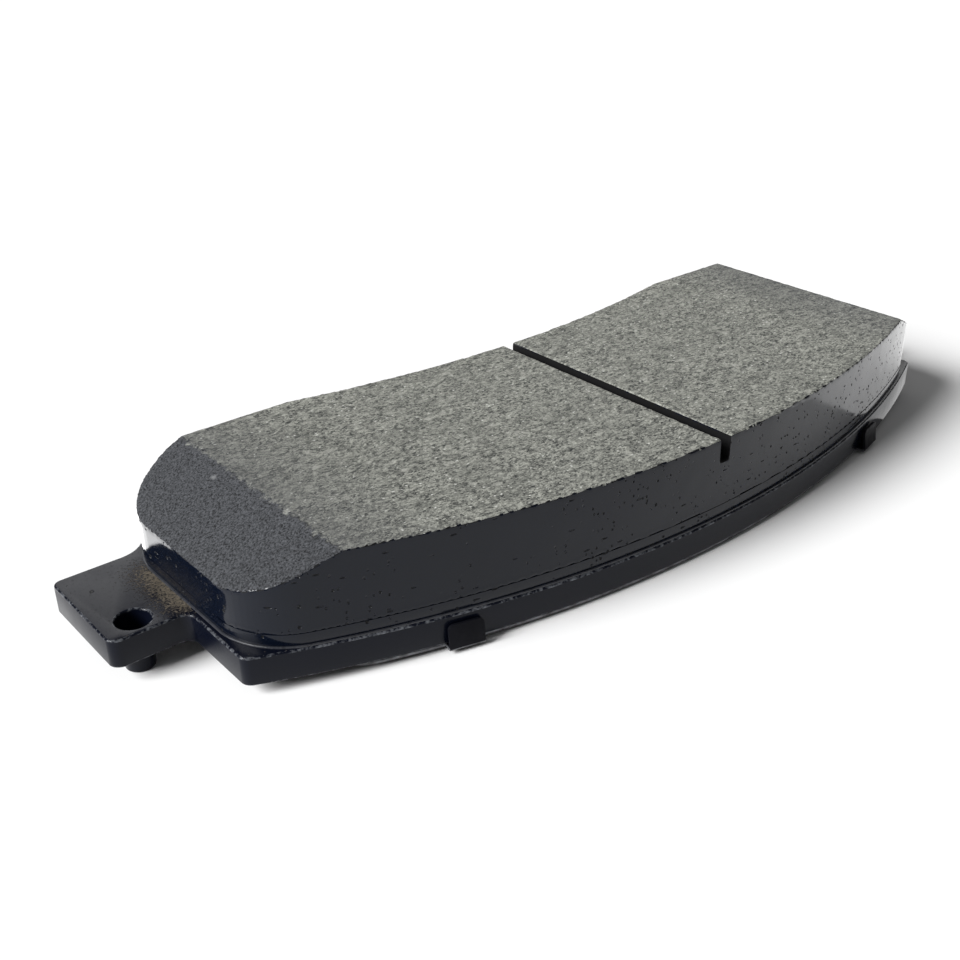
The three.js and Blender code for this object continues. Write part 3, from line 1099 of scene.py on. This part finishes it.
for side in (-1, 1):
    use_tool(shim, set_tab(tab, OUTER_CENTRE, OUTER_RADIUS, side * OUTER_TAB_X, 0), "UNION")
    use_tool(shim, set_tab(tab, INNER_CENTRE, INNER_RADIUS, side * INNER_TAB_X, math.pi), "UNION")
bpy.data.objects.remove(tab)
slots(shim, SHIM_COATING, bare_steel_edge())
give_faces(shim, 1, lambda middle, normal: abs(normal.z) < 0.8 and middle.z < STEEL_FRONT)
smooth(shim)
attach(shim, "root")
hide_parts("shim_steel")
report(shim)

# %% [markdown]
# ## Floor and light
# The pad lies back down, so it rests on the ends of its two bosses and on the near edge of the
# shim. Seen from the pad, the floor is therefore tilted by about four degrees. A plain white
# floor does most of the lighting of the glossy walls, which mirror it.
#
# The key light is far away and wide, like a window, so the floor is evenly bright and the
# shadow is soft. A card behind the pad and two cards on the floor stand for the bright things
# of a room that gloss mirrors. They give no diffuse light.

# %% Lay the floor
FLOOR_SIZE = 40.0
FLOOR_GAP = 0.02 * MM
REST_Y = BOSS_Y - BOSS_RADIUS + RIM_RADIUS
SHIM_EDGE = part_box("shim_outer_rubber")[0]
FLOOR_SLOPE = SHIM_EDGE.z / (REST_Y - SHIM_EDGE.y)

bpy.ops.object.select_all(action="DESELECT")
bpy.ops.mesh.primitive_plane_add(size=FLOOR_SIZE, location=(0, REST_Y, BOSS_END - FLOOR_GAP))
floor = bpy.context.object
floor.name = "floor"
floor.rotation_euler = (-math.atan(FLOOR_SLOPE), 0, 0)


def floor_finish():
    material = start_finish("pale_floor")
    tree = material.node_tree
    tone = blend(tree, noise(tree, 0.3, 2), (0.86, 0.86, 0.86, 1), (0.9, 0.9, 0.9, 1))
    end_finish(tree, Base_Color=tone, Roughness=0.9, Specular_IOR_Level=0.2)
    return material


slots(floor, floor_finish())
print("the floor is tilted by", round(math.degrees(math.atan(FLOOR_SLOPE)), 2), "degrees")

# %% Light it softly
PAD_MIDDLE = Vector((0, 0, 10 * MM))


def window_light(name, azimuth, elevation, spread, strength):
    """A far, wide light. It doesn't weaken with distance, so the whole floor is evenly lit."""
    back = direction(math.radians(azimuth), math.radians(elevation))
    bpy.ops.object.light_add(type="SUN", location=PAD_MIDDLE + back)
    lamp = bpy.context.object
    lamp.name = name
    lamp.data.angle = math.radians(spread)
    lamp.data.energy = strength
    aim(lamp, back)


def bright_card(name, place, width, height, power):
    """A flat lamp that gives no diffuse light. It shows only in what mirrors it."""
    bpy.ops.object.light_add(type="AREA", location=place)
    lamp = bpy.context.object
    lamp.name = name
    lamp.data.shape = "RECTANGLE"
    lamp.data.size = width
    lamp.data.size_y = height
    lamp.data.energy = power
    lamp.visible_diffuse = False
    return lamp


window_light("key", azimuth=-100, elevation=33, spread=32, strength=6.0)
CARD_DISTANCE = 1.4
card_back = direction(math.radians(140), math.radians(32))
card_place = PAD_MIDDLE + card_back * CARD_DISTANCE
back_card = bright_card("back_card", card_place, width=1.8, height=0.8, power=7)
aim(back_card, card_back)
print("the back card stands at", tuple(back_card.location))

# %% Lay two cards on the floor
CARD_LIFT = 1 * MM
CARDS_ON_FLOOR = (
    ("card_past_the_right_end", 120 * MM, -45 * MM, 110 * MM, 120 * MM, 0.034),
    ("card_behind_the_left_ear", -80 * MM, 66 * MM, 60 * MM, 50 * MM, 0.026),
)

for name, x, y, width, depth, power in CARDS_ON_FLOOR:
    level = (REST_Y - y) * FLOOR_SLOPE + CARD_LIFT
    lamp = bright_card(name, (x, y, level), width, depth, power)
    lamp.rotation_euler = (math.pi - math.atan(FLOOR_SLOPE), 0, 0)
    lamp.visible_camera = False
    print(name, "lies at", tuple(lamp.location))

# %% Fill the shadows a little
WORLD_STRENGTH = 0.16

world = bpy.data.worlds.new("studio")
world.use_nodes = True
sky = world.node_tree.nodes["Background"]
sky.inputs["Color"].default_value = (1, 1, 1, 1)
sky.inputs["Strength"].default_value = WORLD_STRENGTH
bpy.context.scene.world = world
bpy.context.scene.view_settings.view_transform = "Standard"
